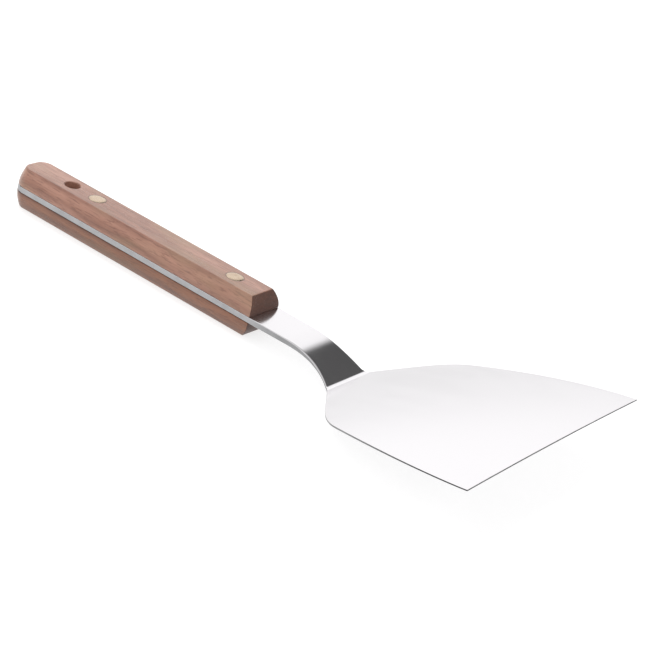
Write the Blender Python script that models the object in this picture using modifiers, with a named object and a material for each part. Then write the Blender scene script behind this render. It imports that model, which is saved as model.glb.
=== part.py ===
"""Grill turner: one steel blade with a full tang, two wood scales and two pairs of cutler's rivets.

The frame is in metres. +X runs along the handle towards the blade's leading edge, +Y to the left
and +Z up, at right angles to the flats of the handle. The origin is at the middle of the object's
length and width, on the surface that the lower rivet heads rest on.
"""

import math

import bmesh
import bpy
from mathutils import Vector

# Handle
HANDLE_LENGTH = 0.1620
HANDLE_WIDTH = 0.0235
HANDLE_THICKNESS = 0.0220
TANG_THICKNESS = 0.0030
BUTT_RADIUS = 0.0090
BUTT_FLAT_RADIUS = 0.0045
SIDE_BEVEL = 0.00335
FRONT_BEVEL = 0.0036
BUTT_BEVEL = 0.0022
SIDE_SWELL = 1.8
FRONT_SWELL = 2.2

# Neck
NECK_LENGTH = 0.0545
BEND_START = 0.0226
BEND_RADIUS = 0.0563
NECK_ANGLE = math.radians(32.4)
NECK_FLARE = 0.0041
HEEL_RADIUS = 0.0035

# Blade
BLADE_LENGTH = 0.1130
BLADE_WIDTH = 0.1520
HEEL_THICKNESS = 0.0010
EDGE_THICKNESS = 0.0007
HEEL_RISE = math.radians(17.2)
EDGE_RISE = math.radians(9.4)
SHOULDER_START = 0.0157
SHOULDER_ANGLE = math.radians(57.5)
SHOULDER_LENGTH = 0.0320
SHOULDER_FILLET = 0.0030
SHOULDER_ROUND = 0.0100
SIDE_TAPER = 0.0187
SIDE_CURVE = 1.7
EDGE_HOLLOW = 0.0009

# Rivets and hang hole, as distances behind the front of the scales
FRONT_RIVET = 0.0214
REAR_RIVET = 0.1140
HANG_HOLE = 0.1316
HANG_HOLE_RADIUS = 0.00425
HEAD_RADIUS = 0.0045
HEAD_RIM = 0.0012
HEAD_CROWN = 0.00035
BARREL_RADIUS = 0.0030
SHANK_RADIUS = 0.0015
SHANK_END = 0.0045
GAP = 0.0003

# Fineness of the meshes
TURNED_STEPS = 40
CORNER_STEPS = 10
TANG_STEPS = 8
BEND_STEPS = 12
HEEL_STEPS = 6
SHOULDER_STEP = 0.0016
BLADE_STEPS = 12
WIDTH_STEPS = 9
BEVEL_STEPS = 6
CUTTER_OVERRUN = 0.005

# Places that follow from the sizes above
SCALE_FRONT_X = HANDLE_LENGTH - (HANDLE_LENGTH + NECK_LENGTH + BLADE_LENGTH) / 2
BUTT_X = SCALE_FRONT_X - HANDLE_LENGTH
HEEL_X = SCALE_FRONT_X + NECK_LENGTH
MIDDLE_Z = HANDLE_THICKNESS / 2 + HEAD_CROWN
FACE = HANDLE_THICKNESS / 2
SEAT = FACE - HEAD_RIM


def clear_scene():
    """Remove every object of the startup scene."""
    for obj in list(bpy.data.objects):
        bpy.data.objects.remove(obj, do_unlink=True)


def new_collection(name):
    collection = bpy.data.collections.new(name)
    bpy.context.scene.collection.children.link(collection)
    return collection


def new_material(name, colour, roughness, metallic=0.0):
    material = bpy.data.materials.new(name)
    material.use_nodes = True
    shader = material.node_tree.nodes["Principled BSDF"]
    shader.inputs["Base Color"].default_value = (*colour, 1.0)
    shader.inputs["Roughness"].default_value = roughness
    shader.inputs["Metallic"].default_value = metallic
    return material


def new_object(name, bm, collection, material=None):
    """Turn a bmesh into an object of this name in the collection."""
    mesh = bpy.data.meshes.new(name)
    bm.to_mesh(mesh)
    bm.free()
    mesh.shade_smooth()
    mesh.set_sharp_from_angle(angle=math.radians(30))
    if material:
        mesh.materials.append(material)
    obj = bpy.data.objects.new(name, mesh)
    collection.objects.link(obj)
    return obj


def hide_cutter(obj):
    obj.hide_render = True
    obj.display_type = "WIRE"


def cut(obj, cutters):
    """Take each cutter out of the object."""
    for cutter in cutters:
        modifier = obj.modifiers.new(f"Cut {cutter.name}", "BOOLEAN")
        modifier.operation = "DIFFERENCE"
        modifier.solver = "EXACT"
        modifier.object = cutter


# Steel


def soft_min(a, b, reach):
    """The smaller of two values, rounded where they differ by less than reach."""
    near = max(reach - abs(a - b), 0.0) / reach
    return min(a, b) - near * near * reach / 4


def soft_max(a, b, reach):
    return -soft_min(-a, -b, reach)


def smooth_step(t):
    t = min(max(t, 0.0), 1.0)
    return t * t * (3 - 2 * t)


def butt_half_width(x):
    """Half the handle's width near its rounded end."""
    into_corner = max(BUTT_X + BUTT_RADIUS - x, 0.0)
    return HANDLE_WIDTH / 2 - BUTT_RADIUS + math.sqrt(max(BUTT_RADIUS**2 - into_corner**2, 0.0))


def steel_half_width(x):
    """Half the steel's width in plan, from the butt through neck and shoulders to the edge."""
    along_bend = max((x - SCALE_FRONT_X - BEND_START) / (NECK_LENGTH - BEND_START), 0.0)
    neck = butt_half_width(x) + NECK_FLARE * along_bend**3
    shoulder = SHOULDER_START + (x - HEEL_X) * math.tan(SHOULDER_ANGLE)
    to_edge = min(max(HEEL_X + BLADE_LENGTH - x, 0.0), BLADE_LENGTH)
    side = BLADE_WIDTH / 2 - SIDE_TAPER * (to_edge / (BLADE_LENGTH - SHOULDER_LENGTH)) ** SIDE_CURVE
    return soft_min(soft_max(neck, shoulder, SHOULDER_FILLET), side, SHOULDER_ROUND)


def steel_thickness(x):
    """Full thickness in the tang, ground thinner down the neck and thinner again to the edge."""
    along_bend = (x - SCALE_FRONT_X - BEND_START) / (NECK_LENGTH - BEND_START)
    along_blade = min(max((x - HEEL_X) / BLADE_LENGTH, 0.0), 1.0)
    neck = (TANG_THICKNESS - HEEL_THICKNESS) * smooth_step(along_bend)
    return TANG_THICKNESS - neck - (HEEL_THICKNESS - EDGE_THICKNESS) * along_blade


def neck_points():
    """The neck's top line: flat, bent down round an arc, then filleted up into the blade."""
    top_z = MIDDLE_Z + TANG_THICKNESS / 2
    bend_x = SCALE_FRONT_X + BEND_START
    points = []
    for step in range(BEND_STEPS + 1):
        angle = NECK_ANGLE * step / BEND_STEPS
        points.append((bend_x + BEND_RADIUS * math.sin(angle), top_z - BEND_RADIUS * (1 - math.cos(angle))))
    end_x, end_z = points[-1]
    heel_z = end_z - (HEEL_X - end_x) * math.tan(NECK_ANGLE)
    tangent = HEEL_RADIUS * math.tan((NECK_ANGLE + HEEL_RISE) / 2)
    centre_x = HEEL_X - tangent * math.cos(NECK_ANGLE) + HEEL_RADIUS * math.sin(NECK_ANGLE)
    centre_z = heel_z + tangent * math.sin(NECK_ANGLE) + HEEL_RADIUS * math.cos(NECK_ANGLE)
    for step in range(HEEL_STEPS + 1):
        angle = -NECK_ANGLE + (NECK_ANGLE + HEEL_RISE) * step / HEEL_STEPS
        points.append((centre_x + HEEL_RADIUS * math.sin(angle), centre_z - HEEL_RADIUS * math.cos(angle)))
    return points, heel_z


def blade_z(x, heel_z):
    """The blade's top line: it leaves the heel steeply and flattens towards the edge."""
    along = x - HEEL_X
    bow = (math.tan(EDGE_RISE) - math.tan(HEEL_RISE)) * along**2 / (2 * BLADE_LENGTH)
    return heel_z + along * math.tan(HEEL_RISE) + bow


def steel_top_line():
    """Every cross row of the steel as (x, z) of its top face, from butt to leading edge."""
    top_z = MIDDLE_Z + TANG_THICKNESS / 2
    rows = []
    for step in range(CORNER_STEPS + 1):
        turned = math.pi / 2 * step / CORNER_STEPS
        rows.append((BUTT_X + BUTT_RADIUS * (1 - math.cos(turned)), top_z))
    neck, heel_z = neck_points()
    corner_end = rows[-1][0]
    for step in range(1, TANG_STEPS):
        rows.append((corner_end + (neck[0][0] - corner_end) * step / TANG_STEPS, top_z))
    rows += neck
    shoulder_end = HEEL_X + SHOULDER_LENGTH
    shoulder_rows = math.ceil((shoulder_end - neck[-1][0]) / SHOULDER_STEP)
    for step in range(1, shoulder_rows + 1):
        x = neck[-1][0] + (shoulder_end - neck[-1][0]) * step / shoulder_rows
        rows.append((x, blade_z(x, heel_z)))
    for step in range(1, BLADE_STEPS + 1):
        x = shoulder_end + (BLADE_LENGTH - SHOULDER_LENGTH) * step / BLADE_STEPS
        rows.append((x, blade_z(x, heel_z)))
    return rows


def make_steel(collection, material):
    """The blade, neck and tang: a grid laid along the top line, then given its thickness."""
    rows = steel_top_line()
    bm = bmesh.new()
    bmesh.ops.create_grid(bm, x_segments=len(rows) - 1, y_segments=WIDTH_STEPS, size=1.0)
    bm.verts.index_update()
    thicknesses = {}
    for vertex in bm.verts:
        x, z = rows[round((vertex.co.x + 1) / 2 * (len(rows) - 1))]
        across = vertex.co.y
        thicknesses[vertex.index] = steel_thickness(x)
        along_blade = max((x - HEEL_X) / BLADE_LENGTH, 0.0)
        hollow = EDGE_HOLLOW * along_blade**3 * (1 - across**2)
        vertex.co = Vector((x - hollow, across * steel_half_width(x), z))
    steel = new_object("blade_and_tang", bm, collection, material)
    group = steel.vertex_groups.new(name="thickness")
    for index, thickness in thicknesses.items():
        group.add([index], thickness / TANG_THICKNESS, "REPLACE")
    shell = steel.modifiers.new("Thickness", "SOLIDIFY")
    shell.thickness = TANG_THICKNESS
    shell.offset = -1.0
    shell.vertex_group = group.name
    return steel


# Wood


def scale_ring(height, side):
    """The outline of a scale at this share of its height, from the tang (0) to the flat (1)."""
    bevelled = height**SIDE_SWELL
    front_inset = FRONT_BEVEL * height**FRONT_SWELL
    half_width = HANDLE_WIDTH / 2 - SIDE_BEVEL * bevelled
    radius = BUTT_RADIUS + (BUTT_FLAT_RADIUS - BUTT_RADIUS) * bevelled
    inner = TANG_THICKNESS / 2 + GAP
    z = MIDDLE_Z + side * (inner + (FACE - inner) * height)
    centre_x = BUTT_X + BUTT_BEVEL * bevelled + radius
    ring = [(SCALE_FRONT_X - front_inset, half_width)]
    for step in range(CORNER_STEPS + 1):
        turned = math.pi / 2 * step / CORNER_STEPS
        ring.append((centre_x - radius * math.sin(turned), half_width - radius * (1 - math.cos(turned))))
    ring += [(x, -y) for x, y in reversed(ring)]
    return [Vector((x, y, z)) for x, y in ring]


def make_scale(name, side, collection, material):
    """One wood scale, lofted from the tang's outline up to the smaller flat face."""
    bm = bmesh.new()
    rings = []
    for step in range(BEVEL_STEPS + 1):
        rings.append([bm.verts.new(point) for point in scale_ring(step / BEVEL_STEPS, side)])
    for lower, upper in zip(rings, rings[1:]):
        for i in range(len(lower)):
            following = (i + 1) % len(lower)
            bm.faces.new((lower[i], lower[following], upper[following], upper[i]))
    bm.faces.new(rings[0])
    bm.faces.new(rings[-1])
    bmesh.ops.recalc_face_normals(bm, faces=bm.faces)
    return new_object(name, bm, collection, material)


# Turned pieces


def turn(name, profile, x, collection, material=None):
    """Turn a profile of (radius, height) about an upright axis at x, top of its outer side first."""
    bm = bmesh.new()
    points = [bm.verts.new((radius, 0.0, height)) for radius, height in profile]
    for start, end in zip(points, points[1:]):
        bm.edges.new((start, end))
    turned = new_object(name, bm, collection, material)
    turned.location = (x, 0.0, MIDDLE_Z)
    screw = turned.modifiers.new("Turn", "SCREW")
    screw.steps = TURNED_STEPS
    screw.render_steps = TURNED_STEPS
    screw.use_merge_vertices = True
    screw.merge_threshold = 0.00001
    screw.use_smooth_shade = True
    return turned


def head_profile(side):
    """A rivet's head, from the middle of its crown to its seat, on the upper (1) or lower (-1) face."""
    crown = [(HEAD_RADIUS * share, FACE + HEAD_CROWN * (1 - share**2)) for share in (0.0, 0.35, 0.65, 0.88, 1.0)]
    return [(radius, side * height) for radius, height in crown + [(HEAD_RADIUS, SEAT)]]


def make_rivet(name, x, collection, material):
    """A cutler's rivet: a solid half from above, driven into a hollow half from below."""
    solid_half = head_profile(1) + [(SHANK_RADIUS, SEAT), (SHANK_RADIUS, -SHANK_END), (0.0, -SHANK_END)]
    turn(f"{name}_male", solid_half, x, collection, material)
    bore_radius = SHANK_RADIUS + GAP
    bore_end = -SHANK_END - GAP
    barrel_top = SEAT - GAP
    hollow_half = [(0.0, bore_end), (bore_radius, bore_end), (bore_radius, barrel_top)]
    hollow_half += [(BARREL_RADIUS, barrel_top), (BARREL_RADIUS, -SEAT)]
    hollow_half += reversed(head_profile(-1))
    turn(f"{name}_female", hollow_half, x, collection, material)


def rivet_cutter(name, x, collection):
    """The stepped hole for a rivet: clear of its barrel in the middle and of its heads outside."""
    head = HEAD_RADIUS + GAP
    barrel = BARREL_RADIUS + GAP
    seat = SEAT - GAP
    outside = FACE + CUTTER_OVERRUN
    profile = [(0.0, outside), (head, outside), (head, seat), (barrel, seat)]
    profile += [(barrel, -seat), (head, -seat), (head, -outside), (0.0, -outside)]
    cutter = turn(name, profile, x, collection)
    hide_cutter(cutter)
    return cutter


def hang_hole_cutter(collection):
    outside = FACE + CUTTER_OVERRUN
    profile = [(0.0, outside), (HANG_HOLE_RADIUS, outside), (HANG_HOLE_RADIUS, -outside), (0.0, -outside)]
    cutter = turn("hang_hole_cutter", profile, SCALE_FRONT_X - HANG_HOLE, collection)
    hide_cutter(cutter)
    return cutter


def main():
    clear_scene()
    parts = new_collection("grill_turner")
    helpers = new_collection("cutters")
    steel = new_material("steel", (0.62, 0.62, 0.63), 0.22, 1.0)
    upper_wood = new_material("upper_wood", (0.34, 0.18, 0.12), 0.55)
    lower_wood = new_material("lower_wood", (0.30, 0.15, 0.09), 0.55)
    brass = new_material("brass", (0.80, 0.66, 0.45), 0.30, 1.0)

    front_x = SCALE_FRONT_X - FRONT_RIVET
    rear_x = SCALE_FRONT_X - REAR_RIVET
    cutters = [
        rivet_cutter("front_rivet_cutter", front_x, helpers),
        rivet_cutter("rear_rivet_cutter", rear_x, helpers),
        hang_hole_cutter(helpers),
    ]
    cut(make_steel(parts, steel), cutters)
    cut(make_scale("upper_scale", 1, parts, upper_wood), cutters)
    cut(make_scale("lower_scale", -1, parts, lower_wood), cutters)
    make_rivet("front_rivet", front_x, parts, brass)
    make_rivet("rear_rivet", rear_x, parts, brass)


main()
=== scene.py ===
"""Grill turner: the fine shapes and finishes of its pieces, built round the model's fixed frame.

The steel is one sheet from tang to leading edge, with a wood scale above and below the tang and two
pairs of cutler's rivets through all three. Everything is in metres: +X points along the handle
towards the leading edge, +Y to the left and +Z up.
"""

import logging
import math
from collections.abc import Callable, Iterator
from contextlib import contextmanager
from dataclasses import dataclass
from enum import Enum

import bmesh
import bpy
from mathutils import Matrix, Vector


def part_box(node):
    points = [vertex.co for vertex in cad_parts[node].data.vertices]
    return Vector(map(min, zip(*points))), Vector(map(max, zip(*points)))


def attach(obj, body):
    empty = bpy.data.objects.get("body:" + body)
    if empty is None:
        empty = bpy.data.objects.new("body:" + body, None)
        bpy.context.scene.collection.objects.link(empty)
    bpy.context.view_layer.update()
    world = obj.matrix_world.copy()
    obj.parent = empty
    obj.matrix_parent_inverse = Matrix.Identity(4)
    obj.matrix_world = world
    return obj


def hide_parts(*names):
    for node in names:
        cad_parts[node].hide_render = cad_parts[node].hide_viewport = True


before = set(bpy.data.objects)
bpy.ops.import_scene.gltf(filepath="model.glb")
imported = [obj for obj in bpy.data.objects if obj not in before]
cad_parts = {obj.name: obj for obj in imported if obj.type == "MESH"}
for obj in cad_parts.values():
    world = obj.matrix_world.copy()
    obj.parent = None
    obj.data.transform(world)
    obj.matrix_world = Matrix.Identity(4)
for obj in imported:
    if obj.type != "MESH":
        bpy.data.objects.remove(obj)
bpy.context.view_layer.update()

log = logging.getLogger("grill_turner")

Test = Callable[[Vector, Vector], bool]
Piece = bpy.types.Object
Socket = bpy.types.NodeSocket
Triple = tuple[float, float, float]

ROOT_BODY = "root"
SAME = 0.00001  # heights closer than this are the same
NEAR = 0.001  # places closer than this to an end belong to it
SQUARE = 0.9  # a face whose normal has more than this of a direction looks that way

HOLE_BEHIND_FRONT = 0.1316  # from the front of the scales to the hang hole's axis
WOOD_TO_TANG = 0.00012  # the gap between a scale and the tang
DULL_BEYOND_FRONT = 0.003  # how far in front of the scales the steel stays at its dullest
UPPER_TINT: Triple = (0.95, 0.94, 0.975)
# The lower scale's colour multiplier is painted shade of its downward-facing sides, together with a
# warmer hue.
LOWER_TINT_AND_PAINTED_SHADE: Triple = (0.55, 0.41, 0.275)
METAL_SHARP = math.radians(35)
WOOD_SHARP = math.radians(32)


class Side(Enum):
    """The face of the handle that a piece belongs to."""

    UPPER = 1
    LOWER = -1


class Half(Enum):
    """A half of a rivet, as the frame's nodes name it."""

    SOLID = "male"
    HOLLOW = "female"


class Pick(Enum):
    """What edit mode selects."""

    EDGES = "EDGE"
    FACES = "FACE"


def held(value: float) -> float:
    """The value, held between 0 and 1."""
    return min(max(value, 0.0), 1.0)


# ---------------------------------------------------------------- workbench


class Bench:
    """Modelling steps that every piece uses, done with Blender's own operators."""

    @staticmethod
    def deselect() -> None:
        """Deselect every object."""
        bpy.ops.object.select_all(action="DESELECT")

    @classmethod
    def pick(cls, piece: Piece) -> None:
        """Make a piece the only selected object, and the active one.

        Args:
            piece: The piece.
        """
        cls.deselect()
        piece.select_set(True)
        bpy.context.view_layer.objects.active = piece

    @classmethod
    def box(cls, name: str, low: Vector, high: Vector) -> Piece:
        """Add a box primitive.

        Args:
            name: Name of the new object.
            low: Its lowest corner.
            high: Its highest corner.

        Returns:
            The box, with its place in its mesh.
        """
        cls.deselect()
        bpy.ops.mesh.primitive_cube_add(size=1.0, location=(low + high) / 2, scale=high - low)
        return cls.settle(name)

    @classmethod
    def cylinder(cls, name: str, foot: Vector, radius: float, height: float,
                 sides: int) -> Piece:
        """Add an upright cylinder primitive.

        Args:
            name: Name of the new object.
            foot: Middle of its lower face.
            radius: Its radius.
            height: Its height.
            sides: Number of its side faces.

        Returns:
            The cylinder, with its place in its mesh.
        """
        cls.deselect()
        middle = foot + Vector((0, 0, height / 2))
        bpy.ops.mesh.primitive_cylinder_add(vertices=sides, radius=radius, depth=height,
                                            location=middle)
        return cls.settle(name)

    @classmethod
    def settle(cls, name: str) -> Piece:
        """Name the active object and move its place, turn and scale into its mesh.

        Args:
            name: Its new name.

        Returns:
            The object.
        """
        piece = bpy.context.active_object
        piece.name = name
        piece.data.name = name
        cls.pick(piece)
        bpy.ops.object.transform_apply(location=True, rotation=True, scale=True)
        return piece

    @classmethod
    @contextmanager
    def edit(cls, piece: Piece, pick: Pick = Pick.FACES) -> Iterator[None]:
        """Open the piece in edit mode with nothing selected, and close it again.

        Args:
            piece: The piece to edit.
            pick: What is selected.
        """
        cls.pick(piece)
        bpy.ops.object.mode_set(mode="EDIT")
        bpy.ops.mesh.select_mode(type=pick.value)
        bpy.ops.mesh.select_all(action="DESELECT")
        yield
        bpy.ops.object.mode_set(mode="OBJECT")

    @staticmethod
    def select_faces(piece: Piece, wanted: Test) -> None:
        """Select faces by their place and direction.

        Args:
            piece: The piece in edit mode.
            wanted: The test that a face's middle and normal have to pass.
        """
        mesh = bmesh.from_edit_mesh(piece.data)
        for face in mesh.faces:
            face.select_set(wanted(face.calc_center_median(), face.normal))
        bmesh.update_edit_mesh(piece.data)

    @classmethod
    def select_facing(cls, piece: Piece, way: Vector) -> None:
        """Select the faces that look this way."""
        cls.select_faces(piece, lambda middle, normal: normal.dot(way) > SQUARE)

    @classmethod
    def select_end(cls, piece: Piece, height: float) -> None:
        """Select the level faces at this height."""
        cls.select_faces(piece, lambda middle, normal: abs(normal.z) > SQUARE
                         and abs(middle.z - height) < SAME)

    @staticmethod
    def select_edges(piece: Piece, wanted: Test) -> None:
        """Select edges by their ends.

        Args:
            piece: The piece in edit mode.
            wanted: The test that an edge's two ends have to pass.
        """
        mesh = bmesh.from_edit_mesh(piece.data)
        for edge in mesh.edges:
            edge.select_set(wanted(edge.verts[0].co, edge.verts[1].co))
        bmesh.update_edit_mesh(piece.data)

    @classmethod
    def select_rim(cls, piece: Piece, height: float) -> None:
        """Select the level edges at this height."""
        cls.select_edges(piece, lambda a, b: max(abs(a.z - height), abs(b.z - height)) < SAME)

    @staticmethod
    def round_edges(radius: float, segments: int) -> None:
        """Round the selected edges."""
        bpy.ops.mesh.bevel(offset=radius, segments=segments, profile=0.5, affect="EDGES")

    @classmethod
    def round_butt(cls, piece: Piece, butt_x: float, radius: float) -> None:
        """Round the two upright edges of a box at the butt.

        Args:
            piece: The box in edit mode.
            butt_x: The place of its butt.
            radius: The radius of the rounding.
        """
        cls.select_edges(piece, lambda a, b: max(a.x, b.x) < butt_x + NEAR
                         and abs(a.z - b.z) > SAME)
        cls.round_edges(radius, 16)

    @staticmethod
    def extrude(x: float, y: float, z: float) -> None:
        """Extrude the selected faces by this much."""
        bpy.ops.mesh.extrude_region_move(TRANSFORM_OT_translate={"value": (x, y, z)})

    @classmethod
    def apply(cls, piece: Piece, kind: str, **settings: object) -> None:
        """Add a modifier to a piece, and apply it.

        Args:
            piece: The piece.
            kind: Blender's name for the kind of modifier.
            settings: The modifier's settings.
        """
        cls.pick(piece)
        modifier = piece.modifiers.new(kind.title(), kind)
        for setting, value in settings.items():
            setattr(modifier, setting, value)
        bpy.ops.object.modifier_apply(modifier=modifier.name)

    @classmethod
    def cut(cls, piece: Piece, cutters: list[Piece]) -> None:
        """Take each cutter out of the piece."""
        for cutter in cutters:
            cls.apply(piece, "BOOLEAN", operation="DIFFERENCE", solver="EXACT", object=cutter)

    @classmethod
    def smooth(cls, piece: Piece, sharp: float) -> None:
        """Shade a piece smooth but for its sharp edges, led by its largest faces.

        Args:
            piece: The piece.
            sharp: The angle from which an edge is sharp.
        """
        cls.pick(piece)
        bpy.ops.object.shade_smooth_by_angle(angle=sharp)
        cls.apply(piece, "WEIGHTED_NORMAL", mode="FACE_AREA", weight=100, keep_sharp=True)

    @staticmethod
    def dress(piece: Piece, *materials: bpy.types.Material) -> None:
        """Give the piece these materials, in this order of slots."""
        for material in materials:
            piece.data.materials.append(material)


# ---------------------------------------------------------------- node graphs


@dataclass(frozen=True)
class Streaks:
    """Noise drawn out along the handle: under 1, along makes the streaks longer than wide."""

    along: float
    per_metre: float
    detail: float = 2.0
    roughness: float = 0.5
    distortion: float = 0.0
    turn: float = 0.0


class Graph:
    """A node tree, with short ways to add and join its nodes."""

    def __init__(self, tree: bpy.types.NodeTree) -> None:
        """Work on this node tree."""
        self.tree = tree

    def add(self, kind: str, inputs: dict | None = None, **settings: object) -> bpy.types.Node:
        """Add a node.

        Args:
            kind: Blender's name for the node type.
            inputs: Value or output socket for each input, by its name or number.
            settings: Properties of the node.

        Returns:
            The new node.
        """
        node = self.tree.nodes.new(kind)
        for setting, value in settings.items():
            setattr(node, setting, value)
        for key, value in (inputs or {}).items():
            self.feed(node, key, value)
        return node

    def feed(self, node: bpy.types.Node, key: str | int, value: object) -> None:
        """Set an input to a value, or join an output socket to it.

        Args:
            node: The node.
            key: The input's name or number.
            value: A number, a vector, the three parts of a colour, or an output socket.
        """
        socket = node.inputs[key]
        if isinstance(value, Socket):
            self.tree.links.new(value, socket)
        else:
            socket.default_value = (*value, 1.0) if socket.type == "RGBA" else value

    def split(self, vector: Socket) -> tuple[Socket, ...]:
        """The x, y and z of a vector."""
        return tuple(self.add("ShaderNodeSeparateXYZ", {0: vector}).outputs)

    def maths(self, operation: str, a: object, b: object = 0.0) -> Socket:
        """One operation on two numbers."""
        return self.add("ShaderNodeMath", {0: a, 1: b}, operation=operation).outputs[0]

    def ramp(self, value: object, low: float, high: float, start: float = 0.0,
             end: float = 1.0) -> Socket:
        """Map low to high smoothly onto start to end, held outside that range."""
        inputs = {0: value, 1: low, 2: high, 3: start, 4: end}
        return self.add("ShaderNodeMapRange", inputs, interpolation_type="SMOOTHSTEP").outputs[0]


class FinishGraph(Graph):
    """A new material's node tree, which ends in one Principled shader."""

    def __init__(self, name: str) -> None:
        """Start a material.

        Args:
            name: Name of the material.
        """
        self.material = bpy.data.materials.new(name)
        self.material.use_nodes = True
        super().__init__(self.material.node_tree)
        self.shader = self.tree.nodes["Principled BSDF"]
        self.place = self.add("ShaderNodeTexCoord").outputs["Object"]

    def stretched(self, scale: Triple, turn: Triple = (0, 0, 0),
                  shift: Triple = (0, 0, 0)) -> Socket:
        """Object coordinates, stretched by this scale on each axis, turned and moved."""
        inputs = {"Vector": self.place, "Location": shift, "Rotation": turn, "Scale": scale}
        return self.add("ShaderNodeMapping", inputs).outputs[0]

    def noise(self, place: Socket, streaks: Streaks) -> Socket:
        """Make smooth noise.

        Args:
            place: The coordinates that it is drawn on.
            streaks: How fine it is.

        Returns:
            The noise, between 0 and 1.
        """
        inputs = {"Vector": place, "Scale": streaks.per_metre, "Detail": streaks.detail,
                  "Roughness": streaks.roughness, "Distortion": streaks.distortion}
        return self.add("ShaderNodeTexNoise", inputs).outputs[0]

    def streaks(self, streaks: Streaks, shift: Triple = (0, 0, 0)) -> Socket:
        """Noise between 0 and 1, drawn out and turned as the streaks say."""
        place = self.stretched((streaks.along, 1.0, 1.0), (0, 0, streaks.turn), shift)
        return self.noise(place, streaks)

    def swing(self, noise: Socket, middle: float, spread: float) -> Socket:
        """Map noise onto a value that swings this far to each side of its middle."""
        return self.ramp(noise, 0.3, 0.7, middle - spread, middle + spread)

    def blend(self, share: object, a: object, b: object, mode: str = "MIX") -> Socket:
        """Mix two colours."""
        inputs = {0: share, 6: a, 7: b}
        return self.add("ShaderNodeMix", inputs, data_type="RGBA", blend_type=mode).outputs[2]

    def wash(self, under: object, value: Socket, low: float, high: float, colour: Triple,
             most: float = 1.0) -> Socket:
        """Lay a colour over another, from none of it at low to most of it at high."""
        return self.blend(self.ramp(value, low, high, 0.0, most), under, colour)

    def colours(self, value: Socket, stops: list[tuple[float, Triple]]) -> Socket:
        """Turn a value into a colour.

        Args:
            value: The value.
            stops: Each place on the ramp and its colour.

        Returns:
            The colour.
        """
        node = self.add("ShaderNodeValToRGB", {0: value})
        elements = node.color_ramp.elements
        while len(elements) < len(stops):
            elements.new(0.5)
        for element, (place, colour) in zip(elements, stops):
            element.position = place
            element.color = (*colour, 1.0)
        return node.outputs[0]

    def bump(self, height: Socket, depth: float, under: Socket | None = None) -> Socket:
        """Bump the surface by a height between 0 and 1.

        Args:
            height: The height.
            depth: The relief that a height of 1 gives.
            under: The bumped normal that this one lies over, if any.

        Returns:
            The bumped normal.
        """
        inputs = {"Height": height, "Distance": depth, "Strength": 1.0}
        if under:
            inputs["Normal"] = under
        return self.add("ShaderNodeBump", inputs).outputs[0]

    def finish(self, **inputs: object) -> bpy.types.Material:
        """Set the shader's inputs.

        Args:
            inputs: Value or socket for each input, named with _ for each space.

        Returns:
            The finished material.
        """
        for key, value in inputs.items():
            self.feed(self.shader, key.replace("_", " "), value)
        return self.material


# ---------------------------------------------------------------- finishes


@dataclass(frozen=True)
class PolishedSteel:
    """Mirror-bright stainless steel with faint grinding lines along the handle."""

    dull_from: float
    name: str = "polished_steel"
    colour: Triple = (0.70, 0.685, 0.70)
    hazy: Triple = (0.6895, 0.674725, 0.6895)
    lines: Streaks = Streaks(0.02, 9000.0, 2.0, 0.6)
    haze: Streaks = Streaks(0.35, 60.0, 4.0, 0.6)
    roughness: float = 0.125
    haze_spread: float = 0.02
    line_spread: float = 0.015
    line_depth: float = 0.0000005
    dull_reach: float = 0.012
    dullness: float = 0.02

    def make(self) -> bpy.types.Material:
        """Build the material.

        Returns:
            The material.
        """
        graph = FinishGraph(self.name)
        lines, haze = graph.streaks(self.lines), graph.streaks(self.haze)
        rough = graph.maths("ADD", graph.swing(haze, self.roughness, self.haze_spread),
                            graph.swing(lines, 0.0, self.line_spread))
        along, _, _ = graph.split(graph.place)
        dull = graph.ramp(along, self.dull_from, self.dull_from + self.dull_reach,
                          self.dullness, 0.0)
        return graph.finish(Base_Color=graph.wash(self.hazy, haze, 0.35, 0.65, self.colour),
                            Metallic=1.0, Roughness=graph.maths("ADD", rough, dull),
                            Normal=graph.bump(lines, self.line_depth))


@dataclass(frozen=True)
class GroundEdgePaintedShade:
    """The narrow edges of the sheet, ground but not polished, with fine lines along them, painted
    darker than the polished steel as painted shade: darker still on the neck and near black along
    the thin blade.
    """

    name: str = "ground_edge_painted_shade"
    # Painted shade: the narrow faces' grey is darker than the polished steel's colour, and darker
    # again on the neck.
    colour: Triple = (0.40, 0.40, 0.41)
    neck_painted_shade: Triple = (0.31, 0.31, 0.315)
    neck_from: float = -0.001
    neck_to: float = 0.020
    # Painted shade: the narrow faces along the thin blade go near black.
    thin_painted_shade: Triple = (0.035, 0.035, 0.038)
    thin_from: float = 0.060
    thin_to: float = 0.163
    stain_colour: Triple = (0.12, 0.115, 0.11)
    stains: Streaks = Streaks(1.0, 90.0, 4.0, 0.6)
    most_stain: float = 0.22
    lines: Streaks = Streaks(0.03, 7000.0, 3.0, 0.7)
    line_depth: float = 0.000004
    roughness: float = 0.38
    line_spread: float = 0.06

    def make(self) -> bpy.types.Material:
        """Build the material.

        Returns:
            The material.
        """
        graph = FinishGraph(self.name)
        lines, stains = graph.streaks(self.lines), graph.streaks(self.stains)
        along, _, _ = graph.split(graph.place)
        # Painted shade: darken the narrow faces on the neck, and to near black along the thin
        # blade.
        metal = graph.wash(self.colour, along, self.neck_from, self.neck_to, self.neck_painted_shade)
        metal = graph.wash(metal, along, self.thin_from, self.thin_to, self.thin_painted_shade)
        metal = graph.wash(metal, stains, 0.35, 0.7, self.stain_colour, self.most_stain)
        return graph.finish(Base_Color=metal, Metallic=1.0,
                            Roughness=graph.swing(lines, self.roughness, self.line_spread),
                            Normal=graph.bump(lines, self.line_depth))


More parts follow.
